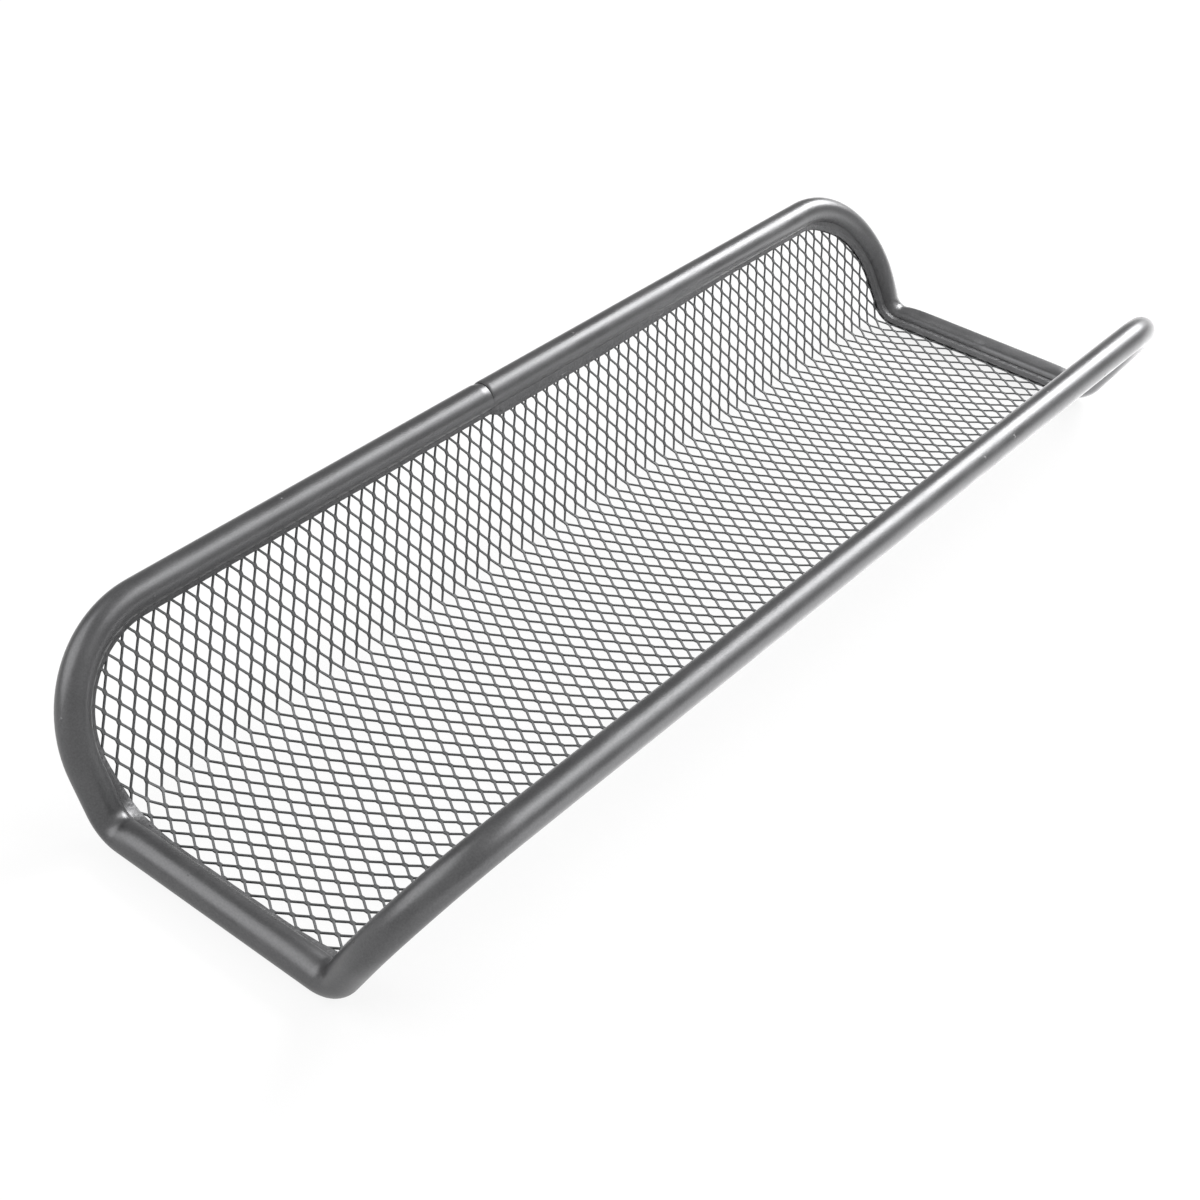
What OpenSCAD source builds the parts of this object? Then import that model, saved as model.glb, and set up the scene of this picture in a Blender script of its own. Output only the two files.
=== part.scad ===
// Open-ended pen tray of expanded steel mesh with a rolled steel edge.
// The flat blank is a rectangle with four rounded corners. Its two long sides are folded
// up into leaning walls, and one strip, rolled and pinched onto the mesh, runs all round.
// X runs along the tray, Y across it and Z up. The origin is under the middle, on the table.

/* [Tray] */
// Length over the rolled edge
tray_length = 250; // [200:1:320]
// Width of the floor between the two fold lines
floor_width = 52; // [42:1:80]
// Slope height of a wall, from its fold line to its outer edge
wall_slant = 35.5; // [32:0.5:50]
// Angle between the floor and a wall, in degrees
wall_angle = 60; // [45:1:75]
// Radius of the four outer corners, in the plane of the wall
corner_radius = 25; // [16:0.5:27]
// Radius of the folds, at the middle of the sheet
fold_radius = 6; // [5:0.5:8]

/* [Rolled edge] */
// Thickness of the rolled bead, across the sheet
bead_thickness = 6.2; // [5:0.1:7.5]
// Width of the flat on the two faces of the bead
bead_flat = 0.4; // [0.2:0.1:1.2]
// Distance that the pinched lips stand past the bead
lip_reach = 0.3; // [0.1:0.1:2]
// Thickness of the strip that is rolled
strip_gauge = 0.8; // [0.5:0.1:1]
// Distance from the near end to the butt joint in the left edge
joint_from_near_end = 113.5; // [70:0.5:140]
// Gap between the two butted ends of the strip
joint_gap = 0.3; // [0.1:0.1:0.8]
// Extra width of the lips at the joint, on its far side
flare_width = 1; // [0.2:0.1:2]
// Length over which the wider lips run out
flare_length = 80; // [20:1:90]

/* [Mesh] */
// Thickness of the mesh sheet
sheet_thickness = 0.6; // [0.4:0.1:1]
// Clearance on each face of the sheet inside the lips
lip_clearance = 0.1; // [0.05:0.05:0.2]
// Depth of the sheet's edge below the outer edge of the bead
sheet_inset = 4.4; // [3.8:0.1:5]
// Width of the pressed band along the sheet's edge, hidden by the lips
band_width = 2; // [1:0.1:2.4]
// Wanted pitch of the openings along the tray
pitch_along = 13; // [10:0.1:20]
// Wanted pitch of the openings across the tray
pitch_across = 19; // [16:0.1:28]
// Width of the bonds where two strands meet
bond_width = 1.9; // [1:0.1:2.5]
// Length of the bonds
bond_length = 4.4; // [2:0.1:6]
// Width of the strands
strand_width = 1.3; // [0.8:0.1:2]

/* [Hidden] */
$fn = 24;

rim_paint = "#7c7d7f";
mesh_paint = "#606163";
half_turn = 180;
quarter_turn = 90;

// Spare length of a cutter past the face that it cuts.
overrun = 1;

// The rolled edge's section: the sheet runs through the middle of its thickness.
bead_radius = bead_thickness / 2;
bead_width = bead_thickness + bead_flat;
rim_width = bead_width + lip_reach;
slot_height = sheet_thickness + 2 * lip_clearance;
lip_thickness = slot_height + 2 * strip_gauge;
bore_radius = bead_radius - strip_gauge;

// Where the sheet's flat and bent stretches begin, along the floor and up the wall.
sheet_z = bead_radius;
fold_setback = fold_radius * tan(wall_angle / 2);
floor_flat_half = floor_width / 2 - fold_setback;
fold_length = fold_radius * wall_angle * PI / half_turn;
wall_start = floor_flat_half + fold_length;
end_x = tray_length / 2;
corner_x = end_x - corner_radius;
corner_slant = wall_slant - corner_radius;
joint_x = joint_from_near_end - end_x;
flare_run = min(flare_length, corner_x - joint_x - joint_gap / 2);

// The mesh: heights are measured over the unfolded sheet, from the middle of the floor.
// Plain bars cross the folds, and the rows of openings start from their two ends.
sheet_end_x = end_x - sheet_inset;
open_end_x = sheet_end_x - band_width;
columns = max(1, round(2 * open_end_x / pitch_along));
cell_along = 2 * open_end_x / columns;
open_half_width = cell_along / 2 - bond_width / 2;
bar_reach = sheet_thickness - bond_length / 2;
first_floor_row = floor_flat_half - bar_reach;
first_wall_row = wall_start + bar_reach;
floor_rows = max(2, round(4 * first_floor_row / pitch_across));
half_row = 2 * first_floor_row / floor_rows;
split_height = first_wall_row + half_row;

// Half heights of an opening, at its tips and where its straight sides end.
strand_rise = half_row - bond_length;
strand_run = cell_along / 2;
strand_length = sqrt(strand_rise * strand_rise + strand_run * strand_run);
side_end = bond_length / 2 + bond_width / 2 * strand_rise / strand_run
    - strand_width / 2 * strand_length / strand_run;
tip_end = side_end + strand_rise * open_half_width / strand_run;

// Section of the rolled edge: outer edge at zero, lips towards minus X, sheet on the X axis.
module rim_outline(radius) {
    translate([-bead_radius, 0]) circle(radius);
    translate([-bead_radius - bead_flat, 0]) circle(radius);
    translate([-bead_radius - bead_flat, -radius]) square([bead_flat, 2 * radius]);
}

module rim_section() {
    difference() {
        union() {
            rim_outline(bead_radius);
            translate([-rim_width, -lip_thickness / 2]) square([rim_width - bead_radius, lip_thickness]);
        }
        rim_outline(bore_radius);
        translate([-rim_width - overrun, -slot_height / 2])
            square([rim_width + overrun - bead_radius, slot_height]);
    }
}

// A straight run of the rolled edge towards plus X, its outer edge on the X axis.
module rim_run(from_x, to_x) {
    translate([from_x, 0, 0]) rotate([quarter_turn, 0, quarter_turn])
        linear_extrude(to_x - from_x) rim_section();
}

// Places a shape drawn flat onto the left wall: Y becomes the way up the slope.
module on_left_wall() {
    translate([0, floor_width / 2, sheet_z]) rotate([wall_angle, 0, 0]) children();
}

module on_right_wall() {
    mirror([0, 1, 0]) on_left_wall() children();
}

// A run of the rolled edge across the floor, at the far end.
module end_rim() {
    color(rim_paint) translate([end_x, 0, sheet_z]) rotate([quarter_turn, 0, 0])
        linear_extrude(2 * floor_flat_half, center = true) rim_section();
}

// The far left bend from the floor to the wall, with the short straight above it.
module fold_rim() {
    color(rim_paint) on_left_wall() translate([end_x, fold_setback, 0]) union() {
        translate([0, 0, fold_radius]) mirror([0, 1, 0]) rotate([0, quarter_turn, 0])
            rotate_extrude(angle = wall_angle)
                translate([fold_radius, 0]) rotate(quarter_turn) rim_section();
        rotate([-quarter_turn, 0, 0]) linear_extrude(corner_slant - fold_setback) rim_section();
    }
}

// The far left rounded corner, in the plane of the wall.
module corner_rim() {
    color(rim_paint) on_left_wall() translate([corner_x, corner_slant, 0])
        rotate_extrude(angle = quarter_turn) translate([corner_radius, 0]) rim_section();
}

// The lips are wider where the strip's far end meets its near end.
module joint_flare(start_x) {
    difference() {
        linear_extrude(lip_thickness, center = true) polygon([
            [start_x, -rim_width],
            [start_x, -rim_width - flare_width],
            [start_x + flare_run, -rim_width]
        ]);
        translate([start_x - overrun, -rim_width - flare_width - overrun, -slot_height / 2])
            cube([flare_run + 2 * overrun, flare_width + 2 * overrun, slot_height]);
    }
}

module left_rim_near_run() {
    color(rim_paint) on_left_wall() translate([0, wall_slant, 0])
        rim_run(-corner_x, joint_x - joint_gap / 2);
}

module left_rim_far_run() {
    color(rim_paint) on_left_wall() translate([0, wall_slant, 0]) union() {
        rim_run(joint_x + joint_gap / 2, corner_x);
        joint_flare(joint_x + joint_gap / 2);
    }
}

module right_rim_run() {
    color(rim_paint) on_right_wall() translate([0, wall_slant, 0]) rim_run(-corner_x, corner_x);
}

// Middles of the openings along one row; the rows alternate, so each takes its number.
module row_of_openings(row) {
    shift = row % 2 == 0 ? 0 : cell_along / 2;
    for (column = [-columns : columns]) {
        x = column * cell_along + shift;
        if (abs(x) < open_end_x + open_half_width) translate([x, 0]) children();
    }
}

module opening() {
    polygon([
        [0, tip_end], [open_half_width, side_end], [open_half_width, -side_end],
        [0, -tip_end], [-open_half_width, -side_end], [-open_half_width, side_end]
    ]);
}

// The floor's flat net, in the plane of the sheet.
module floor_mesh() {
    color(mesh_paint) translate([0, 0, sheet_z]) linear_extrude(sheet_thickness, center = true)
        difference() {
            square([2 * sheet_end_x, 2 * floor_flat_half], center = true);
            intersection() {
                for (row = [0 : floor_rows])
                    translate([0, first_floor_row - row * half_row]) row_of_openings(row) opening();
                square([2 * open_end_x, 2 * (floor_flat_half + overrun)], center = true);
            }
        }
}

// Outline of a wall's sheet, drawn in from the outer edge.
module wall_outline(inset) {
    translate([-end_x + inset, 0]) square([2 * (end_x - inset), corner_slant]);
    translate([-corner_x, 0]) square([2 * corner_x, wall_slant - inset]);
    for (side = [-1, 1]) translate([side * corner_x, corner_slant]) circle(corner_radius - inset);
}

// Height up the wall, from its sharp fold line, of a height over the unfolded sheet.
function slope(height) = height - wall_start + fold_setback;

// The wall's flat net, from the row of bonds where the fold's mesh ends up to the rolled edge.
module wall_mesh(first_row) {
    rows_up = ceil((wall_slant - slope(first_wall_row)) / half_row);
    color(mesh_paint) on_left_wall() linear_extrude(sheet_thickness, center = true) difference() {
        intersection() {
            wall_outline(sheet_inset);
            translate([-end_x, slope(split_height)]) square([tray_length, wall_slant]);
        }
        intersection() {
            for (row = [1 : rows_up])
                translate([0, slope(first_wall_row) + row * half_row])
                    row_of_openings(first_row + row) opening();
            wall_outline(sheet_inset + band_width);
        }
    }
}

// Section across the fold, in the wall's frame: an arc from the floor, then a flat up the wall.
module fold_profile() {
    reach = 2 * fold_radius;
    translate([fold_setback, fold_radius]) intersection() {
        difference() {
            circle(fold_radius + sheet_thickness / 2);
            circle(fold_radius - sheet_thickness / 2);
        }
        polygon([[0, 0], [0, -reach], [-reach * sin(wall_angle), -reach * cos(wall_angle)]]);
    }
    translate([fold_setback, -sheet_thickness / 2])
        square([slope(split_height) - fold_setback, sheet_thickness]);
}

// Gaps between the bars that cross the fold: an opening's upper half, carried down past the floor.
module fold_gap() {
    polygon([
        [0, tip_end], [open_half_width, side_end], [open_half_width, -2 * fold_radius],
        [-open_half_width, -2 * fold_radius], [-open_half_width, side_end]
    ]);
}

// The fold's mesh reaches up the wall to a row of bonds, which ties its bars together.
module fold_mesh(first_row) {
    color(mesh_paint) on_left_wall() difference() {
        rotate([quarter_turn, 0, quarter_turn]) linear_extrude(2 * sheet_end_x, center = true) fold_profile();
        translate([0, 0, -sheet_thickness]) linear_extrude(fold_radius + sheet_thickness) intersection() {
            union() {
                translate([0, slope(first_wall_row)]) row_of_openings(first_row) fold_gap();
                translate([0, slope(split_height)]) row_of_openings(first_row + 1) opening();
            }
            square([2 * open_end_x, 2 * wall_slant], center = true);
        }
    }
}

// The pieces that repeat are drawn at the far end or on the left, and mirrored.
module near_side() {
    mirror([1, 0, 0]) children();
}

module right_side() {
    mirror([0, 1, 0]) children();
}

module left_fold_mesh() { fold_mesh(0); }
module right_fold_mesh() { right_side() fold_mesh(floor_rows); }
module left_wall_mesh() { wall_mesh(0); }
module right_wall_mesh() { right_side() wall_mesh(floor_rows); }
module far_end_rim() { end_rim(); }
module near_end_rim() { near_side() end_rim(); }
module far_left_fold_rim() { fold_rim(); }
module far_right_fold_rim() { right_side() fold_rim(); }
module near_left_fold_rim() { near_side() fold_rim(); }
module near_right_fold_rim() { near_side() right_side() fold_rim(); }
module far_left_corner_rim() { corner_rim(); }
module far_right_corner_rim() { right_side() corner_rim(); }
module near_left_corner_rim() { near_side() corner_rim(); }
module near_right_corner_rim() { near_side() right_side() corner_rim(); }

floor_mesh();
left_fold_mesh();
right_fold_mesh();
left_wall_mesh();
right_wall_mesh();
near_end_rim();
far_end_rim();
near_left_fold_rim();
near_right_fold_rim();
far_left_fold_rim();
far_right_fold_rim();
near_left_corner_rim();
near_right_corner_rim();
far_left_corner_rim();
far_right_corner_rim();
left_rim_near_run();
left_rim_far_run();
right_rim_run();
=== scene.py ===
"""Mesh pen tray with a rolled edge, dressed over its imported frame.

The tray is made here in the order of the works. A blank of expanded metal is laid out flat, a
strip is rolled and crimped round its edge, and both are folded up together along two lines.
Flat places are measured on the unfolded blank: x runs along the tray, y is the distance from the
middle of the floor, and z is the height off the middle of the sheet.
"""

from __future__ import annotations

import logging
import math
from dataclasses import dataclass, replace
from enum import Enum
from typing import Callable

import bmesh
import bpy
import numpy as np
from bpy.types import Material, Node, NodeSocket, NodeTree, Object
from mathutils import Euler, Matrix, Vector

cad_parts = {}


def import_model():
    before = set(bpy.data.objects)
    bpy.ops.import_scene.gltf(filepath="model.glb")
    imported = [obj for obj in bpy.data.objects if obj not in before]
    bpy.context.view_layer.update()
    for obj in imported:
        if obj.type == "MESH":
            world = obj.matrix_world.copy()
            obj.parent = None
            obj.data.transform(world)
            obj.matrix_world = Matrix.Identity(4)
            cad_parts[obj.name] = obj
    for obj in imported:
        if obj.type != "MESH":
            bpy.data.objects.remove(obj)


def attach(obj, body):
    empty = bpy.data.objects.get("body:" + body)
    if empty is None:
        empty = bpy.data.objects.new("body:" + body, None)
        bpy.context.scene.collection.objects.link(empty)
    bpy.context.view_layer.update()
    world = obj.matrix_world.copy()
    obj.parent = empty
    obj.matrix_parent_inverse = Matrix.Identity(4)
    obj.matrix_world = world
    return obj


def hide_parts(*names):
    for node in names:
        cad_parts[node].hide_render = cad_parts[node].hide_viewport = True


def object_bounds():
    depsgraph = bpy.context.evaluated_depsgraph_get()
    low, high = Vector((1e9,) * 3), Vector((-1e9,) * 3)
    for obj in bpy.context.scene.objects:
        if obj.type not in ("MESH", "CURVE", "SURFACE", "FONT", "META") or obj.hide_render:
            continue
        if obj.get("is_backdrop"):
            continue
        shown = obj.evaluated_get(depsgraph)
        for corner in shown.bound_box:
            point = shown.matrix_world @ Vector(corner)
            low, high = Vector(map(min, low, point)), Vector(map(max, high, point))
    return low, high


LOG = logging.getLogger("pen_tray")
MM = 0.001
# Points closer than this are one point.
TOUCH = 0.001 * MM
# The mesh attribute that says where the strip is crimped, from 0 to 1.
LIP_MARK = "lip"
BODY = "root"

Triple = tuple[float, float, float]


class Wall(Enum):
    """The two leaning walls, named as the frame's nodes name them."""

    LEFT = "left"
    RIGHT = "right"


class Element(Enum):
    """The elements of a mesh that are picked by their place, named as Blender's select modes."""

    VERTEX = "VERT"
    FACE = "FACE"


def clamped(value: float) -> float:
    """Keeps a share between 0 and 1."""
    return min(1.0, max(0.0, value))


def running_sum(values: np.ndarray, step: float) -> np.ndarray:
    """Adds up values sampled at even steps, from nothing at the first of them."""
    return np.concatenate([[0.0], np.cumsum((values[1:] + values[:-1]) / 2) * step])


def linear(hex_colour: str) -> tuple[float, float, float, float]:
    """Turns an sRGB hex colour into the linear values that shaders take.

    Args:
        hex_colour: Six hex digits after a hash sign.

    Returns:
        Red, green, blue and alpha.
    """
    channels = [int(hex_colour[i : i + 2], 16) / 255 for i in (1, 3, 5)]
    bent = [c / 12.92 if c <= 0.04045 else ((c + 0.055) / 1.055) ** 2.4 for c in channels]
    return (bent[0], bent[1], bent[2], 1.0)


def add_node(
    tree: NodeTree, kind: str, settings: dict[str, object] | None = None, **links: object
) -> Node:
    """Adds one node with its settings, socket values and incoming links.

    Args:
        tree: The node tree to add to.
        kind: The node's type name.
        settings: Attributes of the node itself.
        links: Socket values by name, with spaces as underscores, or by number, as i0; an output
            socket is linked.

    Returns:
        The new node.
    """
    node = tree.nodes.new(kind)
    for name, value in (settings or {}).items():
        setattr(node, name, value)
    for name, value in links.items():
        key = int(name[1:]) if name[0] == "i" and name[1:].isdigit() else name.replace("_", " ")
        socket = node.inputs[key]
        if isinstance(value, NodeSocket):
            tree.links.new(value, socket)
        else:
            socket.default_value = value
    return node


def calculate(tree: NodeTree, operation: str, *values: object) -> NodeSocket:
    """Adds a maths node for an operation on numbers or sockets, and gives its result."""
    links = {f"i{number}": value for number, value in enumerate(values)}
    return add_node(tree, "ShaderNodeMath", {"operation": operation}, **links).outputs[0]


def compare(tree: NodeTree, operation: str, place: NodeSocket, other: Triple) -> NodeSocket:
    """Gives the dot product or the distance of a place and a fixed vector."""
    node = add_node(tree, "ShaderNodeVectorMath", {"operation": operation}, i0=place, i1=other)
    return node.outputs["Value"]


def remap(
    tree: NodeTree, value: NodeSocket, source: tuple[float, float], target: tuple[float, float],
    blend: str = "SMOOTHSTEP",
) -> NodeSocket:
    """Turns a value's source range into the target range, level past its ends."""
    node = add_node(
        tree, "ShaderNodeMapRange", {"interpolation_type": blend}, Value=value,
        From_Min=source[0], From_Max=source[1], To_Min=target[0], To_Max=target[1],
    )
    return node.outputs[0]


def bump(tree: NodeTree, height: NodeSocket, distance: float, **under: NodeSocket) -> NodeSocket:
    """Gives the normal of a surface raised by up to a distance, over another Normal if there is one."""
    node = add_node(tree, "ShaderNodeBump", Height=height, Distance=distance, Strength=1.0, **under)
    return node.outputs[0]


def empty_material(name: str) -> tuple[Material, NodeTree]:
    """Makes a material with an empty node tree.

    Args:
        name: The material's name.

    Returns:
        The material and its tree.
    """
    material = bpy.data.materials.new(name)
    material.use_nodes = True
    material.node_tree.nodes.clear()
    return material, material.node_tree


def deselect_all() -> None:
    """Leaves nothing selected, because an operator acts on all that is."""
    if bpy.context.mode != "OBJECT":
        bpy.ops.object.mode_set(mode="OBJECT")
    bpy.ops.object.select_all(action="DESELECT")


def make_active(piece: Object) -> None:
    """Selects one piece alone and makes it active.

    Args:
        piece: The piece.
    """
    deselect_all()
    piece.select_set(True)
    bpy.context.view_layer.objects.active = piece


def select_in_edit(
    piece: Object, chosen: Callable[[Vector], bool], kind: Element = Element.VERTEX
) -> None:
    """Selects the vertices or faces of the piece in edit mode whose middle is chosen.

    Args:
        piece: The piece, in edit mode.
        chosen: Tells whether the element at a place is wanted.
        kind: Which elements.
    """
    bpy.ops.mesh.select_mode(type=kind.value)
    bpy.ops.mesh.select_all(action="DESELECT")
    shape = bmesh.from_edit_mesh(piece.data)
    faces = kind is Element.FACE
    for element in shape.faces if faces else shape.verts:
        if chosen(element.calc_center_median() if faces else element.co):
            element.select_set(True)
    shape.select_flush_mode()
    bmesh.update_edit_mesh(piece.data)


def repeat(piece: Object, count: int, step: Triple, weld: bool = False) -> None:
    """Sets copies of the piece side by side within its mesh.

    Args:
        piece: The piece to change.
        count: How many there are in the end.
        step: From one copy to the next.
        weld: Whether copies that touch are joined.
    """
    make_active(piece)
    array = piece.modifiers.new("array", "ARRAY")
    array.count = count
    array.use_relative_offset = False
    array.use_constant_offset = True
    array.constant_offset_displace = step
    array.use_merge_vertices = weld
    array.merge_threshold = TOUCH
    bpy.ops.object.modifier_apply(modifier=array.name)


@dataclass(frozen=True)
class FoldLines:
    """The section that the flat blank takes when its walls are folded up.

    Its sizes run along the middle of the sheet, as on the maker's drawing.
    """

    floor_width: float = 52 * MM
    wall_slant: float = 35.5 * MM
    wall_angle: float = math.radians(60)
    fold_radius: float = 6 * MM
    sheet_height: float = 3.1 * MM

    @property
    def setback(self) -> float:
        """Distance from the sharp fold line to where the bend starts."""
        return self.fold_radius * math.tan(self.wall_angle / 2)

    @property
    def floor_half(self) -> float:
        """Half the flat width of the floor."""
        return self.floor_width / 2 - self.setback

    @property
    def wall_start(self) -> float:
        """Flat distance at which the bend ends and the wall starts."""
        return self.floor_half + self.fold_radius * self.wall_angle

    @property
    def fold_middle(self) -> float:
        """Flat distance of the middle of the bend."""
        return (self.floor_half + self.wall_start) / 2

    @property
    def outer_edge(self) -> float:
        """Flat distance of the wall's outer edge."""
        return self.wall_start + self.wall_slant - self.setback

    def slope(self, distance: np.ndarray) -> np.ndarray:
        """Slope of the folded sheet at flat distances from the middle."""
        return np.clip((distance - self.floor_half) / self.fold_radius, 0, self.wall_angle)

    def fold_up(self, piece: Object, hang: HangingMesh | None = None) -> None:
        """Bends a flat piece up along both fold lines and sets it on the table.

        Blender's bend tool needs a window, so each point is carried round its bend by rule.

        Args:
            piece: The flat piece; its mesh is changed.
            hang: How the piece hangs between the tray's ends, if it is loose there.
        """
        points = np.empty(len(piece.data.vertices) * 3)
        piece.data.vertices.foreach_get("co", points)
        points = points.reshape(-1, 3)
        distance, height = np.abs(points[:, 1]), points[:, 2]
        turn = self.slope(distance)
        up_wall = np.maximum(distance - self.wall_start, 0)
        flat, bend = np.minimum(distance, self.floor_half), self.fold_radius
        out = flat + bend * np.sin(turn) + up_wall * math.cos(self.wall_angle)
        up = bend - bend * np.cos(turn) + up_wall * math.sin(self.wall_angle)
        if hang:
            share = hang.share(points[:, 0])
            loose_turn, loose_out, loose_up = hang.moved(self, distance)
            turn = turn + (loose_turn - turn) * share
            out += loose_out * share
            up += loose_up * share
        out -= height * np.sin(turn)
        up += height * np.cos(turn)
        points[:, 1] = np.sign(points[:, 1]) * out
        points[:, 2] = self.sheet_height + up
        piece.data.vertices.foreach_set("co", points.ravel())
        piece.data.update()


@dataclass(frozen=True)
class HangingMesh:
    """How the mesh lies away from the tray's stiff ends, where only its edges are held.

    It creases more sharply there, and between the creases the floor sags a little.
    """

    # The floor's slope where it meets the crease, and how late it steepens on the way there.
    crease_slope: float = math.radians(9)
    slope_power: float = 1.5
    crease_radius: float = 1.5 * MM
    # From here inwards the mesh comes loose, over the length of the ease.
    end_x: float = 119 * MM
    ease: float = 24 * MM
    steps: int = 2001
    tolerance: float = 0.0001 * MM

    def share(self, x: np.ndarray) -> np.ndarray:
        """How far the mesh hangs at places along the tray, from 0 at its ends to 1."""
        near = np.clip((self.end_x - np.abs(x)) / self.ease, 0, 1)
        return near * near * (3 - 2 * near)

    def loose_slope(self, lines: FoldLines, distance: np.ndarray, crease: float) -> np.ndarray:
        """Slope of the hanging sheet at flat distances, for a crease that starts at one of them."""
        floor = self.crease_slope * (np.minimum(distance, crease) / crease) ** self.slope_power
        return np.minimum(floor + np.maximum(distance - crease, 0) / self.crease_radius, lines.wall_angle)

    def moved(self, lines: FoldLines, distance: np.ndarray) -> tuple[np.ndarray, np.ndarray, np.ndarray]:
        """Works out the hanging section, which keeps its length and its upper edges.

        Args:
            lines: The section at the tray's ends.
            distance: Flat distances from the middle.

        Returns:
            The slope at each distance, and how far it lies outwards and upwards of the ends' section.
        """
        grid = np.linspace(0, lines.outer_edge, self.steps)
        step = grid[1]
        ends = lines.slope(grid)
        width = running_sum(np.cos(ends), step)[-1]
        low, high = lines.floor_half / 2, lines.outer_edge
        while high - low > self.tolerance:
            crease = (low + high) / 2
            loose = self.loose_slope(lines, grid, crease)
            wide = running_sum(np.cos(loose), step)[-1] > width
            low, high = (low, crease) if wide else (crease, high)
        loose = self.loose_slope(lines, grid, low)
        out = running_sum(np.cos(loose) - np.cos(ends), step)
        up = running_sum(np.sin(loose) - np.sin(ends), step)
        turn = self.loose_slope(lines, distance, low)
        return turn, np.interp(distance, grid, out - out[-1]), np.interp(distance, grid, up - up[-1])


@dataclass(frozen=True)
class Noise:
    """A shader's noise: the size of its patches, and how much finer noise there is in them."""

    size: float
    detail: float
    fineness: float = 0.5

    def value(self, tree: NodeTree, place: NodeSocket) -> NodeSocket:
        """Adds the noise to a tree and gives its value at a place."""
        links = {"Vector": place, "Scale": 1 / self.size, "Detail": self.detail, "Roughness": self.fineness}
        return add_node(tree, "ShaderNodeTexNoise", **links).outputs["Fac"]


@dataclass(frozen=True)
class SatinPaint:
    """Silver-grey metallic paint, sprayed and baked on steel.

    The fine aluminium flake gives broad soft highlights over a mid grey. A faint cloudiness and
    the slight orange peel break them up, and here and there a grain of dust lies in the coat.
    """

    name: str
    colour: str
    dark_colour: str
    roughness: float
    metallic: float
    flake: Noise = Noise(0.35 * MM, detail=2.0, fineness=0.6)
    cloud: Noise = Noise(9 * MM, detail=3.0, fineness=0.55)
    # How much of the tint's change is flake, and at which levels it is darkest and lightest.
    flake_share: float = 0.55
    dark_below: float = 0.36
    light_above: float = 0.64
    # The cloudiness at which the coat is smoothest and roughest, and by how much.
    cloud_low: float = 0.3
    cloud_high: float = 0.7
    smoother: float = 0.05
    rougher: float = 0.06
    peel: Noise = Noise(1.3 * MM, detail=1.0)
    peel_height: float = 0.012 * MM
    grain_spacing: float = 7 * MM
    grain_radius: float = 0.45 * MM
    grain_height: float = 0.12 * MM
    # Where the piece is crimped, the coat is dimpled and rougher.
    dimple: Noise = Noise(1.3 * MM, detail=2.0, fineness=0.6)
    crimp_height: float = 0.0
    crimp_roughness: float = 0.16

    def material(self) -> Material:
        """Builds the paint.

        Returns:
            The finished material.
        """
        material, tree = empty_material(self.name)
        place = add_node(tree, "ShaderNodeTexCoord").outputs["Object"]
        flake = calculate(tree, "MULTIPLY", self.flake.value(tree, place), self.flake_share)
        cloud = self.cloud.value(tree, place)
        tint = calculate(tree, "MULTIPLY_ADD", cloud, 1 - self.flake_share, flake)
        ramp = add_node(tree, "ShaderNodeValToRGB", Fac=tint)
        dark, light = ramp.color_ramp.elements
        dark.position = self.dark_below
        dark.color = linear(self.dark_colour)
        light.position = self.light_above
        light.color = linear(self.colour)
        rough = remap(
            tree, cloud, (self.cloud_low, self.cloud_high),
            (self.roughness - self.smoother, self.roughness + self.rougher), "LINEAR",
        )
        normal = bump(tree, self.peel.value(tree, place), self.peel_height)
        grain = add_node(tree, "ShaderNodeTexVoronoi", Vector=place, Scale=1 / self.grain_spacing)
        reach = self.grain_radius / self.grain_spacing
        top = remap(tree, grain.outputs["Distance"], (0.0, reach), (1.0, 0.0))
        normal = bump(tree, top, self.grain_height, Normal=normal)
        if self.crimp_height:
            lip = add_node(tree, "ShaderNodeAttribute", {"attribute_name": LIP_MARK}).outputs["Fac"]
            rough = calculate(tree, "MULTIPLY_ADD", lip, self.crimp_roughness, rough)
            pressed = calculate(tree, "MULTIPLY", self.dimple.value(tree, place), lip)
            normal = bump(tree, pressed, self.crimp_height, Normal=normal)
        shader = add_node(
            tree, "ShaderNodeBsdfPrincipled", Base_Color=ramp.outputs["Color"], Roughness=rough,
            Metallic=self.metallic, Normal=normal,
        )
        add_node(tree, "ShaderNodeOutputMaterial", Surface=shader.outputs[0])
        return material


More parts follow.
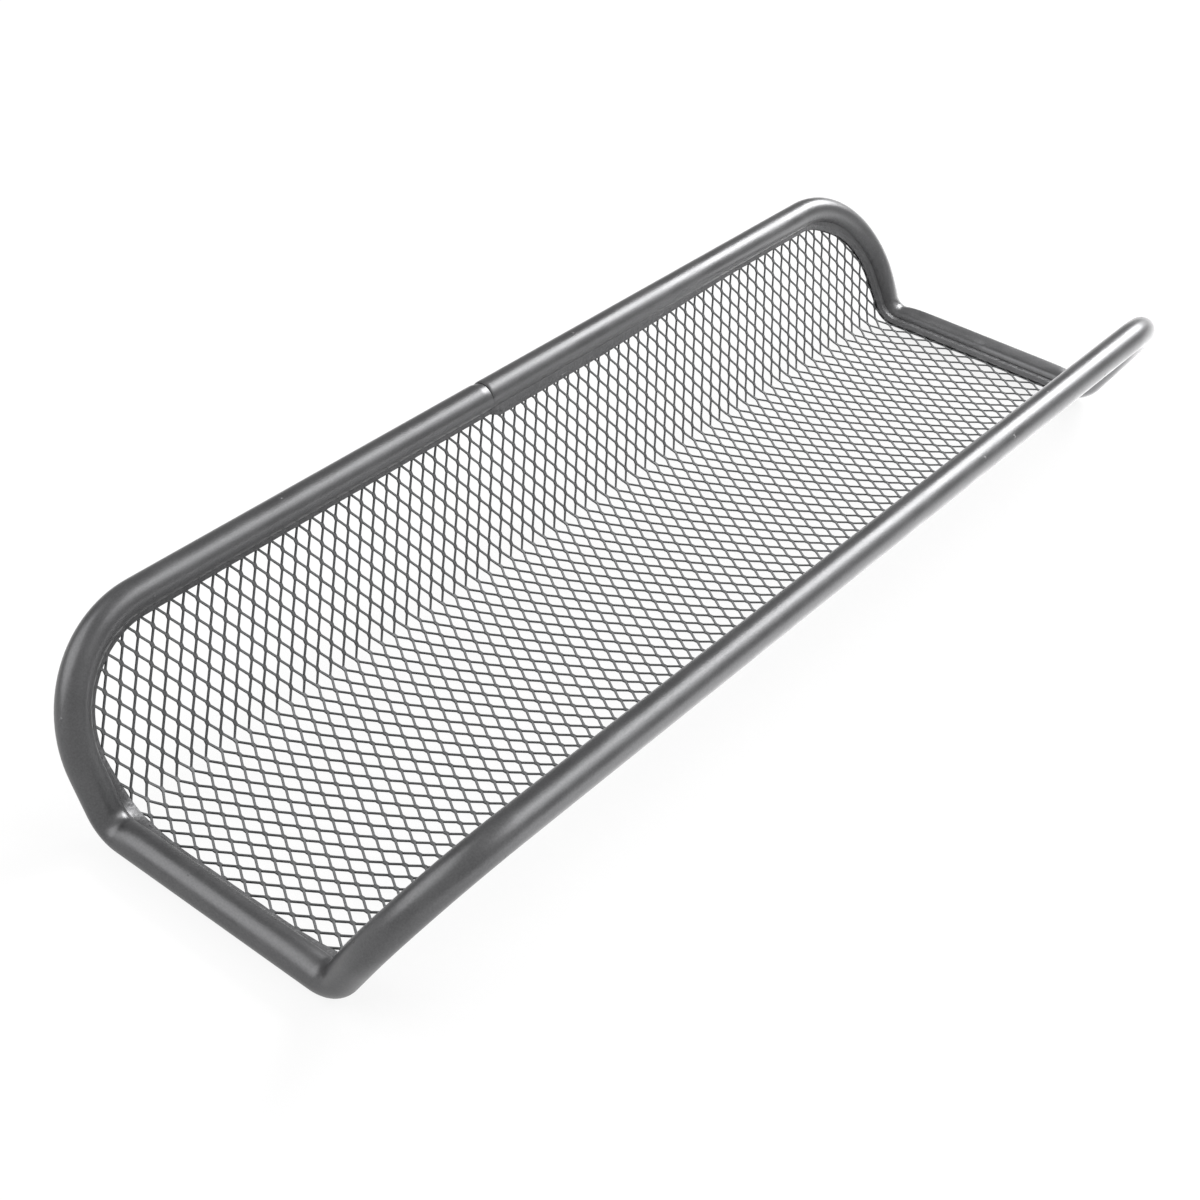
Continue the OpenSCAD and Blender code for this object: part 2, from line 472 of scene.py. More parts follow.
@dataclass(frozen=True)
class MeshBlank:
    """The expanded sheet: slit steel, pulled open so that its strands zigzag from bond to bond.

    Each strand is slit flat and turns on edge as the sheet is pulled, so strands and bonds lean.
    """

    pitch_along: float = 3.364 * MM
    pitch_across: float = 5.66 * MM
    strand_width: float = 0.40 * MM
    strand_depth: float = 0.29 * MM
    bond_length: float = 0.75 * MM
    lean: float = math.radians(-14)
    # Where a strand bends off its bond, as shares of its way across and along.
    knee_across: float = 0.05
    knee_along: float = 0.08
    # One bond of the lattice, from which all the others are counted.
    bond_x: float = -95.96 * MM
    bond_y: float = 40.32 * MM
    spare_waves: int = 1
    # The blank's edge, which ends inside the rolled strip.
    half_length: float = 120.6 * MM
    corner_radius: float = 20.6 * MM
    edge_inset: float = 4.4 * MM
    corner_cuts: int = 4

    @property
    def turned(self) -> MeshBlank:
        """The same blank, turned half round."""
        return replace(self, bond_x=-self.bond_x, bond_y=-self.bond_y, lean=-self.lean)

    @property
    def side(self) -> float:
        """Distance of a strand's middle from the middle of its bond, along the tray."""
        return self.strand_width / 2 * math.cos(self.lean)

    @property
    def rise(self) -> float:
        """Height of a strand's middle over the middle of its bond."""
        return self.strand_width / 2 * math.sin(self.lean)

    def strand_route(self) -> list[tuple[Vector, float]]:
        """Lays out one wave of a strand, from the middle of a bond out to the next and back.

        Returns:
            The places along the wave, each with the strand's width there as a share of its width.
        """
        swing = self.pitch_along / 2 - 2 * self.side
        slope = self.pitch_across / 2 - self.bond_length
        spread = math.hypot(swing, slope) / slope
        outward = [
            (0.0, 0.0, 1.0),
            (self.knee_across, self.knee_along, spread),
            (1 - self.knee_across, 1 - self.knee_along, spread),
            (1.0, 1.0, 1.0),
        ]
        route = [(Vector((self.side, 0, self.rise)), 1.0)]
        for across, along, width in outward:
            x = self.side + swing * across
            y = self.bond_length / 2 + slope * along
            route.append((Vector((x, y, self.rise * (1 - 2 * across))), width))
        back = [(Vector((p.x, self.pitch_across - p.y, p.z)), width) for p, width in reversed(route)]
        return route + back

    def wave(self) -> Object:
        """Models one wave of a strand as a leaning bar, drawn out from a flat end.

        Returns:
            The wave, open at both ends.
        """
        route = self.strand_route()
        deselect_all()
        bpy.ops.mesh.primitive_plane_add(size=1, rotation=(math.pi / 2, 0, 0))
        strand = bpy.context.active_object
        bpy.ops.object.transform_apply(rotation=True)
        bpy.ops.object.mode_set(mode="EDIT")
        bpy.ops.transform.resize(value=(self.strand_width, 1, self.strand_depth), center_override=(0, 0, 0))
        bpy.ops.object.mode_set(mode="OBJECT")
        strand.data.transform(Matrix.Rotation(-self.lean, 4, "Y"))
        strand.data.transform(Matrix.Translation(route[0][0]))
        bpy.ops.object.mode_set(mode="EDIT")
        bpy.ops.mesh.select_mode(type="FACE")
        bpy.ops.mesh.select_all(action="SELECT")
        for (place, width), (following, next_width) in zip(route, route[1:]):
            bpy.ops.mesh.extrude_region_move(TRANSFORM_OT_translate={"value": following - place})
            if next_width != width:
                bpy.ops.transform.resize(value=(next_width / width, 1, 1), center_override=following)
        bpy.ops.mesh.delete(type="FACE")
        select_in_edit(strand, lambda spot: abs(spot.y) < TOUCH, Element.FACE)
        bpy.ops.mesh.delete(type="FACE")
        bpy.ops.object.mode_set(mode="OBJECT")
        return strand

    def net(self, low: float, high: float) -> Object:
        """Repeats the wave into a flat rectangle of net that overruns the blank.

        Args:
            low: Lowest flat distance that has to be covered.
            high: Highest flat distance that has to be covered.

        Returns:
            The flat net.
        """
        net = self.wave()
        spare = self.spare_waves
        first_row = math.floor((low - self.bond_y) / self.pitch_across) - spare
        rows = math.ceil((high - low) / self.pitch_across) + 2 * spare + 1
        first_column = math.floor((-self.half_length - self.bond_x) / self.pitch_along) - spare
        columns = math.ceil(2 * self.half_length / self.pitch_along) + 2 * spare + 1
        repeat(net, rows, (0, self.pitch_across, 0), weld=True)
        repeat(net, 2, (self.pitch_along / 2, self.pitch_across / 2, 0))
        repeat(net, columns, (self.pitch_along, 0, 0))
        shift_x = self.bond_x + first_column * self.pitch_along
        shift_y = self.bond_y + first_row * self.pitch_across
        net.data.transform(Matrix.Translation((shift_x, shift_y, 0)))
        return net

    def cut(self, net: Object, place: tuple[float, float], outward: tuple[float, float]) -> None:
        """Shears off all that lies past a straight line, and closes the cut ends.

        Args:
            net: The flat net.
            place: A point of the line.
            outward: The side that falls away.
        """
        make_active(net)
        bpy.ops.object.mode_set(mode="EDIT")
        reach = self.pitch_across
        middle, normal = Vector((*place, 0)), Vector((*outward, 0)).normalized()
        select_in_edit(net, lambda spot: (spot - middle).dot(normal) > -reach, Element.FACE)
        bpy.ops.mesh.bisect(plane_co=middle, plane_no=normal, use_fill=True, clear_outer=True)
        bpy.ops.object.mode_set(mode="OBJECT")

    def panel(self, name: str, low: float, high: float, round_corners: bool) -> Object:
        """Cuts one panel of the blank out of the net, still flat.

        Args:
            name: The new piece's name.
            low: Flat distance of its lower edge.
            high: Flat distance of its upper edge.
            round_corners: Whether the two upper corners follow the blank's round corners.

        Returns:
            The flat panel.
        """
        panel = self.net(low, high)
        panel.name = name
        self.cut(panel, (0, low), (0, -1))
        self.cut(panel, (0, high), (0, 1))
        for end in (-1, 1):
            self.cut(panel, (end * self.half_length, 0), (end, 0))
        if round_corners:
            centre_x, centre_y = self.half_length - self.corner_radius, high - self.corner_radius
            for end in (-1, 1):
                for number in range(self.corner_cuts):
                    angle = (number + 0.5) / self.corner_cuts * math.pi / 2
                    across, up = math.cos(angle) * end, math.sin(angle)
                    x = centre_x * end + across * self.corner_radius
                    y = centre_y + up * self.corner_radius
                    self.cut(panel, (x, y), (across, up))
        make_active(panel)
        bpy.ops.object.mode_set(mode="EDIT")
        bpy.ops.mesh.select_all(action="SELECT")
        bpy.ops.mesh.normals_make_consistent(inside=False)
        bpy.ops.object.mode_set(mode="OBJECT")
        return panel


@dataclass
class ExpandedSheet:
    """The mesh of the tray: the floor and the two walls, each wall with its fold."""

    lines: FoldLines
    blank: MeshBlank
    paint: SatinPaint
    hang: HangingMesh = HangingMesh()

    def build(self) -> list[Object]:
        """Cuts the three panels, whose lattice runs on from one to the next, and dresses them.

        Returns:
            The panels.
        """
        material = self.paint.material()
        fold, top = self.lines.floor_half, self.lines.outer_edge - self.blank.edge_inset
        floor = self.blank.panel("floor_sheet", -fold, fold, False)
        self.dress(floor, material, "floor_mesh")
        pieces = [floor]
        for wall in Wall:
            # The right wall is cut from the turned blank where the left one lies, and turned back.
            blank = self.blank if wall is Wall.LEFT else self.blank.turned
            panel = blank.panel(f"{wall.value}_wall_sheet", fold, top, True)
            if wall is Wall.RIGHT:
                panel.data.transform(Matrix.Rotation(math.pi, 4, "Z"))
            self.dress(panel, material, f"{wall.value}_fold_mesh", f"{wall.value}_wall_mesh")
            pieces.append(panel)
        return pieces

    def dress(self, panel: Object, material: Material, *nodes: str) -> None:
        """Folds a panel up, paints it and hands it over in place of its nodes.

        Args:
            panel: The flat panel.
            material: Its paint.
            nodes: The nodes that it stands for.
        """
        self.lines.fold_up(panel, self.hang)
        panel.data.materials.append(material)
        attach(panel, BODY)
        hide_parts(*nodes)


@dataclass
class RolledEdge:
    """The strip of steel that is rolled to a bead and crimped onto the blank's edge.

    Its ends butt in the left long edge. Past the joint its lips stand out wider and run out.
    """

    lines: FoldLines
    paint: SatinPaint
    half_length: float
    corner_radius: float = 25 * MM
    # The rolled section: a bead, and two lips that hold the mesh between them.
    bead_thickness: float = 6.2 * MM
    bead_depth: float = 6.1 * MM
    bead_foot: float = math.radians(20)
    strip_width: float = 6.9 * MM
    lip_thickness: float = 2.1 * MM
    slot_half: float = 0.2 * MM
    slot_depth: float = 0.5 * MM
    slot_foot: float = 0.16 * MM
    # The lips thin out to their ends, which are slightly rounded.
    lip_edge: float = 0.5 * MM
    lip_nose: float = 0.09 * MM
    slot_nose: float = 0.06 * MM
    feather: float = 0.36 * MM
    feather_edge: float = 0.6 * MM
    # A point this little above the lips' faces still belongs to them.
    lip_margin: float = 0.021 * MM
    # How much wider the lips are at each end, and more so in the two near folds.
    near_reach: float = 0.1 * MM
    far_reach: float = 1.3 * MM
    ease: float = 8 * MM
    fold_reach: float = 1.1 * MM
    fold_spread: float = 7 * MM
    # The joint: a thin seam, and on its near side a dip in the bead.
    joint_x: float = -11.5 * MM
    joint_gap: float = 0.12 * MM
    joint_zone: float = 4 * MM
    notch_length: float = 1.75 * MM
    notch_share: float = 0.08
    far_edge: float = 0.35 * MM
    far_edge_share: float = 0.6
    # The notch fades out inwards, and there the two ends close up to each other.
    notch_reach: float = 4.8 * MM
    notch_ease: float = 2.5 * MM
    closing_share: float = 0.45
    # The wider lips past the joint.
    flare_width: float = 1.15 * MM
    flare_start: float = 2.5 * MM
    flare_length: float = 80 * MM
    flare_ease: float = 45 * MM
    # How closely the strip is divided.
    section_points: int = 10
    station: float = 1.0 * MM
    fine_station: float = 0.25 * MM
    corner_steps: int = 30
    fold_steps: int = 14
    length_match: float = 1e-4
    # The crimping tool's dimples along the lips, which never quite repeat.
    crimp_depth: float = 0.1 * MM
    crimp_pitch: float = 2.2 * MM
    crimp_drift: float = 0.37
    crimp_slant: float = 40.0
    # The far left corner's flank is crimped too, from here inwards.
    flank_start: float = 3.72 * MM
    flank_ease: float = 1.55 * MM
    flank_share: float = 0.7
    # The bead is pinched in the folds, and more on its outer side.
    pinch_share: float = 0.26
    soft_pinch_share: float = 0.12
    pinch_lean: float = 0.5
    pinch_up: float = 5.5 * MM
    pinch_down: float = 4.0 * MM
    # The far end's top is pressed flat, sloping down inwards.
    press_height: float = 2.75 * MM
    press_slope: float = 0.157
    press_round: float = 0.25 * MM
    # Keeps the strip's rounding errors inside the solids' box.
    skin: float = 0.005 * MM
    smooth_angle: float = math.radians(32)

    @property
    def bead_radius(self) -> float:
        """Radius of the bead's round sides."""
        return self.bead_thickness / 2

    @property
    def section_reach(self) -> float:
        """Farther from the middle of a cross section than any of its points."""
        return 2 * self.bead_thickness

    @property
    def lip_half(self) -> float:
        """Height of the lips' faces off the middle of the sheet."""
        return self.lip_thickness / 2

    @property
    def lip_root(self) -> float:
        """Distance inwards at which the bead ends and the lips begin."""
        return self.bead_radius + (self.bead_depth - self.bead_radius) * math.cos(self.bead_foot)

    @property
    def corner_x(self) -> float:
        """Where the straight long edges end and the corners begin."""
        return self.half_length - self.corner_radius

    @property
    def corner_y(self) -> float:
        """Flat distance at which the corners begin on the walls' ends."""
        return self.lines.outer_edge - self.corner_radius

    def section(self) -> list[tuple[float, float]]:
        """Draws the rolled section, from the upper lip over the bead to the lower lip.

        Returns:
            Points as distance inwards from the outer edge and height off the sheet.
        """
        radius, end = self.bead_radius, self.strip_width
        inner = self.bead_depth - radius
        half = [
            (end - self.slot_depth, self.slot_foot),
            (end - self.slot_nose, self.slot_half),
            (end, (self.slot_half + self.lip_edge) / 2),
            (end - self.lip_nose, self.lip_edge),
            (end - self.feather, self.feather_edge),
            (self.lip_root + self.lip_nose, self.lip_half),
        ]
        for angle in np.linspace(self.bead_foot, math.pi / 2, self.section_points):
            half.append((radius + inner * math.cos(angle), radius * math.sin(angle)))
        for angle in np.linspace(math.pi / 2, math.pi, self.section_points + 1)[1:]:
            half.append((radius + radius * math.cos(angle), radius * math.sin(angle)))
        return half + [(inward, -height) for inward, height in reversed(half[:-1])]

    def drawn(self, edge: bmesh.types.BMEdge, before: Vector, step: Vector) -> bool:
        """Tells whether an edge runs along the stretch that was just drawn.

        Args:
            edge: The edge.
            before: Middle of the cross section that the stretch starts from.
            step: How far the stretch runs, and which way.

        Returns:
            True if the edge is as long as the stretch and lies in it.
        """
        span = edge.verts[1].co - edge.verts[0].co
        middle = (edge.verts[1].co + edge.verts[0].co) / 2
        length = step.length
        near = (middle - before).length < length / 2 + self.section_reach
        along = abs(abs(span.dot(step.normalized())) - length) < length * self.length_match
        return near and along and span.length < length * (1 + self.length_match)

    def run(self, strip: Object, step: Vector, cuts: int) -> None:
        """Draws the strip's open end straight on, and divides the new stretch.

        Args:
            strip: The strip, in edit mode with its end selected.
            step: How far and which way.
            cuts: How many cross sections are put in between.
        """
        ends = [v.co.copy() for v in bmesh.from_edit_mesh(strip.data).verts if v.select]
        before = sum(ends, Vector()) / len(ends)
        bpy.ops.mesh.extrude_region_move(TRANSFORM_OT_translate={"value": step})
        if cuts:
            shape = bmesh.from_edit_mesh(strip.data)
            bpy.ops.mesh.select_mode(type="EDGE")
            bpy.ops.mesh.select_all(action="DESELECT")
            for edge in shape.edges:
                if self.drawn(edge, before, step):
                    edge.select_set(True)
            bmesh.update_edit_mesh(strip.data)
            bpy.ops.mesh.subdivide(number_cuts=cuts)
        end, direction, reach = before + step, step.normalized(), self.section_reach
        select_in_edit(
            strip, lambda spot: abs((spot - end).dot(direction)) < TOUCH and (spot - end).length < reach
        )

    def turn(self, centre: tuple[float, float]) -> None:
        """Sweeps the selected open end round a corner of the blank, clockwise from above."""
        bpy.ops.mesh.spin(
            steps=self.corner_steps, angle=math.pi / 2, center=(centre[0], centre[1], 0), axis=(0, 0, 1)
        )

    def cuts(self, length: float) -> int:
        """Counts the cross sections within a straight stretch."""
        return max(1, round(length / self.station)) - 1

    def end_of_tray(self, strip: Object, way: int) -> None:
        """Draws the strip across one end of the tray, closely divided where it will be folded.

        Args:
            strip: The strip, in edit mode with its end selected.
            way: Minus one from left to right, one from right to left.
        """
        wall = self.corner_y - self.lines.wall_start
        bend = self.lines.wall_start - self.lines.floor_half
        floor = 2 * self.lines.floor_half
        stretches = [(wall, self.cuts(wall)), (bend, self.fold_steps - 1), (floor, self.cuts(floor))]
        for length, cuts in stretches + [stretches[1], stretches[0]]:
            self.run(strip, Vector((0, way * length, 0)), cuts)

    def strip(self) -> Object:
        """Rolls the whole strip round the flat blank, from one side of the joint to the other.

        Returns:
            The flat strip.
        """
        points = self.section()
        deselect_all()
        bpy.ops.mesh.primitive_circle_add(vertices=len(points), radius=self.bead_radius)
        strip = bpy.context.active_object
        strip.name = "rolled_edge"
        start_x = self.joint_x + self.joint_gap / 2
        for vertex, (inward, height) in zip(strip.data.vertices, points):
            vertex.co = Vector((start_x, self.lines.outer_edge - self.skin - inward, height))
        bpy.ops.object.mode_set(mode="EDIT")
        bpy.ops.mesh.select_mode(type="VERT")
        bpy.ops.mesh.select_all(action="SELECT")
        x, y = self.corner_x, self.corner_y
        zone_cuts = round(self.joint_zone / self.fine_station) - 1
        self.run(strip, Vector((self.joint_zone, 0, 0)), zone_cuts)
        far_run = x - start_x - self.joint_zone
        self.run(strip, Vector((far_run, 0, 0)), self.cuts(far_run))
        self.turn((x, y))
        self.end_of_tray(strip, -1)
        self.turn((x, -y))
        self.run(strip, Vector((-2 * x, 0, 0)), self.cuts(2 * x))
        self.turn((-x, -y))
        self.end_of_tray(strip, 1)
        self.turn((-x, y))
        near_run = self.joint_x - self.joint_gap / 2 + x - self.joint_zone
        self.run(strip, Vector((near_run, 0, 0)), self.cuts(near_run))
        self.run(strip, Vector((self.joint_zone, 0, 0)), zone_cuts)
        bpy.ops.mesh.select_all(action="SELECT")
        bpy.ops.mesh.remove_doubles(threshold=TOUCH)
        bpy.ops.mesh.fill_holes(sides=0)
        bpy.ops.mesh.normals_make_consistent(inside=False)
        bpy.ops.object.mode_set(mode="OBJECT")
        return strip

    def nearest_edge(self, spot: Vector) -> tuple[float, Vector]:
        """Finds the blank's outer edge that is nearest to a flat point.

        Args:
            spot: The point.

        Returns:
            How far the point lies inwards of the edge, and the way in which the lips point there.
        """
        past_x, past_y = abs(spot.x) - self.corner_x, abs(spot.y) - self.corner_y
        in_x, in_y = -math.copysign(1, spot.x), -math.copysign(1, spot.y)
        if past_x > 0 and past_y > 0:
            way_in = Vector((in_x * past_x, in_y * past_y, 0)).normalized()
            return self.corner_radius - math.hypot(past_x, past_y), way_in
        inward = min(self.half_length - abs(spot.x), self.lines.outer_edge - abs(spot.y))
        way_in = Vector((in_x, 0, 0)) if past_x > 0 else Vector((0, in_y, 0))
        return inward, way_in

    def lip_reach(self, spot: Vector) -> float:
        """Says how much wider the lips are at a flat point: at the ends and past the joint.

        Args:
            spot: The point.

        Returns:
            The added width.
        """
        end_reach = self.far_reach if spot.x > 0 else self.near_reach
        reach = end_reach * clamped((abs(spot.x) - self.corner_x) / self.ease)
        if spot.x < -self.corner_x:
            away = (abs(spot.y) - self.lines.fold_middle) / self.fold_spread
            reach += self.fold_reach * math.exp(-away * away)
        past = spot.x - self.joint_x
        if spot.y > 0 and 0 <= past < self.flare_length and abs(spot.x) < self.corner_x:
            start = clamped(past / self.flare_start)
            reach += self.flare_width * start * clamped((self.flare_length - past) / self.flare_ease)
        return reach

    def lip_move(self, spot: Vector, way_in: Vector) -> Vector:
        """Says how a point of the lips moves as they are widened and dimpled.

        Args:
            spot: The point, flat.
            way_in: The way in which the lips point there.

        Returns:
            The move.
        """
        move = way_in * self.lip_reach(spot)
        if abs(spot.z) > self.slot_half:
            along = (spot.x + spot.y) * 2 * math.pi / self.crimp_pitch
            drift = self.crimp_drift * along + self.crimp_slant * (spot.x - spot.y) / self.crimp_pitch
            bite = math.sin(along) * math.sin(drift)
            move.z = -math.copysign(self.crimp_depth * (1 + bite) / 2, spot.z)
        return move

    def pinched(self, spot: Vector, inward: float) -> float:
        """Pinches a point of an end's bead in the fold.

        The pinch is deeper on the bead's outer side, and slight in the near right fold.

        Args:
            spot: The point, flat.
            inward: Distance inwards from the outer edge.

        Returns:
            Its new height.
        """
        if spot.z <= 0:
            return spot.z
        away = abs(spot.y) - self.lines.fold_middle
        away /= self.pinch_up if away > 0 else self.pinch_down
        share = self.soft_pinch_share if spot.x < 0 and spot.y < 0 else self.pinch_share
        outer = 1 + self.pinch_lean * max(-1.0, (self.bead_radius - inward) / self.bead_radius)
        return spot.z * (1 - share * outer * math.exp(-away * away))

    def pressed(self, spot: Vector, inward: float) -> float:
        """Presses a point of the far end's bead, whose top is a little flat.

        Args:
            spot: The point, flat.
            inward: Distance inwards from the outer edge.

        Returns:
            Its new height.
        """
        if spot.z < self.lip_half + self.lip_margin:
            return spot.z
        limit = self.press_height - self.press_slope * (inward - self.bead_radius / 2)
        gap = (spot.z - limit) / self.press_round
        low = spot.z - self.press_round * math.log1p(math.exp(gap))
        share = clamped((self.lines.floor_half + self.ease / 2 - abs(spot.y)) / self.ease)
        return spot.z + (low - spot.z) * share

    def butted(self, spot: Vector, inward: float) -> Vector:
        """Shapes the two ends at the joint: the near one dips to it, and low down they close up.

        Args:
            spot: The point, flat.
            inward: Distance inwards from the outer edge.

        Returns:
            The point's new place.
        """
        past = spot.x - self.joint_x
        outer_share = clamped((self.notch_reach - inward) / self.notch_ease)
        axis = Vector((spot.x, self.lines.outer_edge - self.bead_radius, 0))
        length = self.notch_length if past < 0 else self.far_edge
        share = max(0.0, 1 - (abs(past) - self.joint_gap / 2) / length)
        dip = self.notch_share * outer_share * (1 if past < 0 else self.far_edge_share)
        new = axis + (spot - axis) * (1 - dip * share)
        new.x -= math.copysign(self.joint_gap * self.closing_share * share * (1 - outer_share), past)
        return new

    def flank_mark(self, spot: Vector, inward: float) -> float:
        """Says how roughly the far left corner's flank is crimped.

        Args:
            spot: The point, flat.
            inward: Distance inwards from the outer edge.

        Returns:
            The mark, from 0 to 1.
        """
        if spot.x < self.corner_x or spot.y < 0 or spot.z < 0:
            return 0.0
        return self.flank_share * clamped((inward - self.flank_start) / self.flank_ease)

    def crimp(self, strip: Object) -> None:
        """Presses the flat strip's lips, folds, far end and joint into shape.

        Args:
            strip: The strip; its mesh is changed, and marked where it is crimped.
        """
        marks = strip.data.attributes.new(LIP_MARK, "FLOAT", "POINT")
        for vertex, mark in zip(strip.data.vertices, marks.data):
            spot = vertex.co.copy()
            inward, way_in = self.nearest_edge(spot)
            on_lip = inward > self.lip_root + self.skin and abs(spot.z) < self.lip_half + self.lip_margin
            mark.value = 1.0 if on_lip else self.flank_mark(spot, inward)
            new = spot.copy()
            if spot.y > 0 and abs(spot.x - self.joint_x) < self.joint_zone:
                new = self.butted(spot, inward)
            if spot.x > self.corner_x:
                new.z = self.pressed(new, inward)
            if abs(spot.x) > self.corner_x:
                new.z = self.pinched(new, inward)
            if on_lip:
                new += self.lip_move(spot, way_in)
            vertex.co = new

    def build(self) -> list[Object]:
        """Rolls, crimps and folds the edge, and dresses it.

        Returns:
            The strip alone, in a list.
        """
        strip = self.strip()
        self.crimp(strip)
        self.lines.fold_up(strip)
        self.dress(strip)
        return [strip]

    def dress(self, strip: Object) -> None:
        """Smooths and paints the strip, and hands it over in place of its nodes.

        Args:
            strip: The folded strip.
        """
        make_active(strip)
        bpy.ops.object.shade_smooth_by_angle(angle=self.smooth_angle)
        strip.data.materials.append(self.paint.material())
        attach(strip, BODY)
        ends, parts = ("near", "far"), ("fold", "corner")
        bends = [f"{end}_{wall.value}_{part}_rim" for end in ends for wall in Wall for part in parts]
        runs = ["left_rim_near_run", "left_rim_far_run", "right_rim_run"]
        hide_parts("near_end_rim", "far_end_rim", *runs, *bends)


@dataclass(frozen=True)
class SoftLamp:
    """A square soft lamp, by its height and its bearing from the tray's far end in degrees."""

    name: str
    bearing: float
    height: float
    side: float
    power: float

    def hang(self, distance: float) -> None:
        """Hangs the lamp at a distance from the tray, facing it.

        Args:
            distance: The distance from the middle of the floor.
        """
        data = bpy.data.lights.new(self.name, "AREA")
        data.size = self.side
        data.energy = self.power
        lamp = bpy.data.objects.new(self.name, data)
        turn, lift = math.radians(self.bearing), math.radians(self.height)
        place = Vector((math.cos(turn) * math.cos(lift), math.sin(turn) * math.cos(lift), math.sin(lift)))
        lamp.location = place * distance
        lamp.rotation_euler = (-place).to_track_quat("-Z", "Y").to_euler()
        bpy.context.scene.collection.objects.link(lamp)


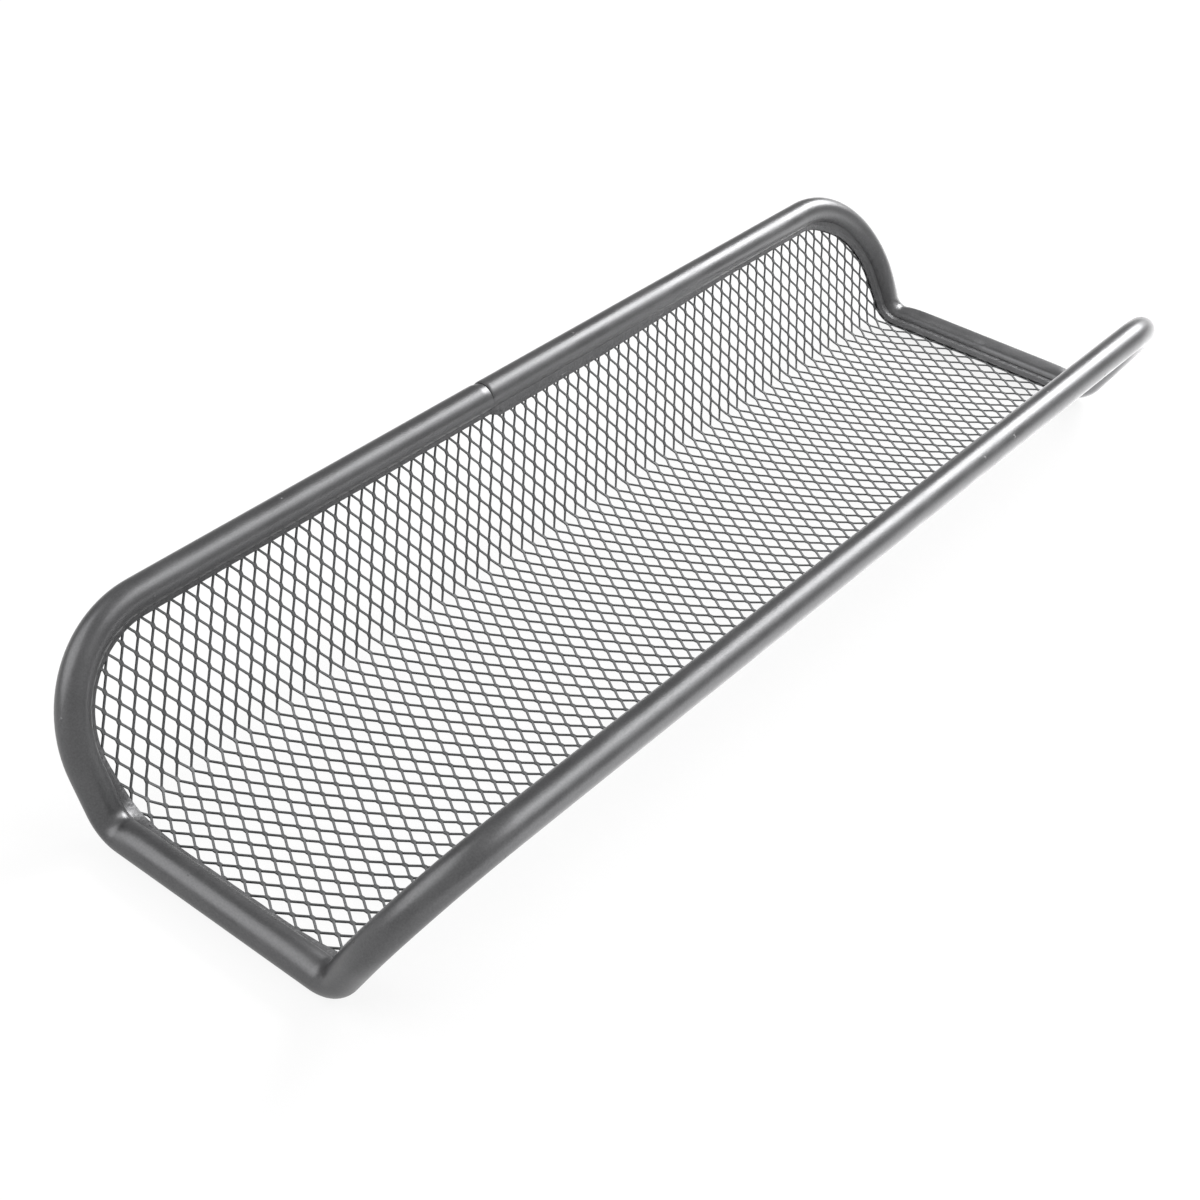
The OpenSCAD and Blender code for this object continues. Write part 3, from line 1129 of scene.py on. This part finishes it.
@dataclass(frozen=True)
class Studio:
    """White paper and surroundings, three soft lamps, and the camera at the photograph's angle."""

    camera_place: Triple = (-265.9 * MM, -179.8 * MM, 237.5 * MM)
    camera_bearing: float = math.radians(36.74)
    camera_dip: float = math.radians(37.13)
    camera_roll: float = math.radians(3.6)
    sensor_width: float = 36.0
    lens: float = 59.56
    clip_start: float = 10 * MM
    floor_size: float = 6.0
    floor_white: str = "#f4f4f4"
    floor_roughness: float = 0.4
    # How much of the paper glows by itself, as the camera and as reflections see it.
    direct_glow: float = 0.88
    glossy_glow: float = 0.6
    # Painted glow: reflections see one half of the paper brighter, and a spot of it too, though no lamp
    # lights them.
    bright_way: Triple = (0.6, -0.8, 0.0)
    pool_reach: float = 80 * MM
    pool_strength: float = 1.6
    spot_place: Triple = (90 * MM, -110 * MM, 0.0)
    spot_core: float = 60 * MM
    spot_edge: float = 250 * MM
    spot_strength: float = 2.0
    # They see the surroundings darker on one side, which as a light give only the fill.
    dark_way: Triple = (0.707, 0.707, 0.0)
    dark_from: float = -0.2
    dark_to: float = 0.8
    dark_level: float = 0.45
    fill_level: float = 0.4
    lamp_distance: float = 3.0
    lamps: tuple[SoftLamp, ...] = (
        SoftLamp("far_lamp", bearing=-3, height=33, side=1.4, power=125.0),
        SoftLamp("left_lamp", bearing=133, height=43, side=2.7, power=60.0),
        SoftLamp("right_lamp", bearing=-42, height=48, side=1.7, power=30.0),
    )

    def camera(self) -> None:
        """Sets the camera up, at the height and bearing of the photograph."""
        data = bpy.data.cameras.new("camera")
        data.sensor_width = self.sensor_width
        data.lens = self.lens
        data.clip_start = self.clip_start
        camera = bpy.data.objects.new("camera", data)
        bpy.context.scene.collection.objects.link(camera)
        aim = Euler((math.pi / 2 - self.camera_dip, 0, self.camera_bearing - math.pi / 2))
        rolled = aim.to_matrix().to_4x4() @ Matrix.Rotation(self.camera_roll, 4, "Z")
        camera.matrix_world = Matrix.Translation(self.camera_place) @ rolled
        bpy.context.scene.camera = camera

    def white(self) -> Material:
        """Makes the paper: white to the camera, with a faint shadow left in it, and a painted glow on it
        that only reflections see.

        Returns:
            The finished material.
        """
        material, tree = empty_material("white_paper")
        colour = linear(self.floor_white)
        paper = add_node(tree, "ShaderNodeBsdfPrincipled", Base_Color=colour, Roughness=self.floor_roughness)
        path = add_node(tree, "ShaderNodeLightPath").outputs
        place = add_node(tree, "ShaderNodeTexCoord").outputs["Object"]
        # Painted glow: glossy rays see the paper brighter on one half and round a spot, on top of its plain
        # white.
        across = compare(tree, "DOT_PRODUCT", place, self.bright_way)
        pool = remap(tree, across, (-self.pool_reach, self.pool_reach), (0.0, self.pool_strength))
        away = compare(tree, "DISTANCE", place, self.spot_place)
        spot = remap(tree, away, (self.spot_core, self.spot_edge), (self.spot_strength, 0.0))
        painted_glow = calculate(tree, "ADD", pool, spot)
        strength = calculate(tree, "MULTIPLY_ADD", painted_glow, path["Is Glossy Ray"], 1.0)
        glow = add_node(tree, "ShaderNodeEmission", Strength=strength)
        clear = calculate(tree, "MAXIMUM", path["Is Camera Ray"], path["Is Transmission Ray"])
        glossy = calculate(tree, "MULTIPLY", path["Is Glossy Ray"], self.glossy_glow)
        direct = calculate(tree, "MULTIPLY", clear, self.direct_glow)
        share = calculate(tree, "MAXIMUM", direct, glossy)
        mix = add_node(tree, "ShaderNodeMixShader", i0=share, i1=paper.outputs[0], i2=glow.outputs[0])
        add_node(tree, "ShaderNodeOutputMaterial", Surface=mix.outputs[0])
        return material

    def floor(self) -> None:
        """Lays the paper under the tray."""
        deselect_all()
        bpy.ops.mesh.primitive_plane_add(size=self.floor_size, location=(0, 0, 0))
        paper = bpy.context.active_object
        paper.name = "paper_floor"
        paper.data.materials.append(self.white())
        paper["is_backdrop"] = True

    def world(self) -> None:
        """Surrounds the tray with white, which only the camera and reflections see undimmed."""
        world = bpy.data.worlds.new("studio")
        bpy.context.scene.world = world
        world.use_nodes = True
        tree = world.node_tree
        tree.nodes.clear()
        path = add_node(tree, "ShaderNodeLightPath").outputs
        clear = calculate(tree, "MAXIMUM", path["Is Camera Ray"], path["Is Transmission Ray"])
        way = add_node(tree, "ShaderNodeTexCoord").outputs["Generated"]
        across = compare(tree, "DOT_PRODUCT", way, self.dark_way)
        room = remap(tree, across, (self.dark_from, self.dark_to), (1.0, self.dark_level))
        glossy = calculate(tree, "MULTIPLY", room, path["Is Glossy Ray"])
        seen = calculate(tree, "MAXIMUM", clear, glossy)
        strength = calculate(tree, "MAXIMUM", seen, self.fill_level)
        back = add_node(tree, "ShaderNodeBackground", Color=(1, 1, 1, 1), Strength=strength)
        add_node(tree, "ShaderNodeOutputWorld", Surface=back.outputs[0])

    def build(self) -> None:
        """Sets up the stage, the lamps and the camera."""
        self.camera()
        self.floor()
        self.world()
        for lamp in self.lamps:
            lamp.hang(self.lamp_distance)
        bpy.context.scene.view_settings.view_transform = "Standard"


def main() -> None:
    """Builds the tray piece by piece over its frame."""
    logging.basicConfig(level=logging.INFO, format="%(name)s: %(message)s")
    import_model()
    low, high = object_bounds()
    lines = FoldLines()
    # The strands carry the bead's paint, but darker here: that is painted shade for their dimmer look. They
    # are also duller, with hardly a highlight.
    mesh_paint_with_painted_shade = SatinPaint(
        "baked_metallic_paint_on_mesh_with_painted_shade", colour="#505152", dark_colour="#404142", roughness=0.6, metallic=0.5
    )
    # The bead shows the paint's long soft highlights, and its crimped lips look rough.
    edge_paint = SatinPaint(
        "baked_metallic_paint_on_edge", colour="#5a5a5b", dark_colour="#4f4f50", roughness=0.36,
        metallic=0.75, crimp_height=0.22 * MM,
    )
    Studio().build()
    sheet = ExpandedSheet(lines, MeshBlank(), mesh_paint_with_painted_shade)
    edge = RolledEdge(lines, edge_paint, half_length=(high.x - low.x) / 2)
    for piece in sheet.build() + edge.build():
        LOG.info("%s: %d faces", piece.name, len(piece.data.polygons))


if __name__ == "__main__":
    main()
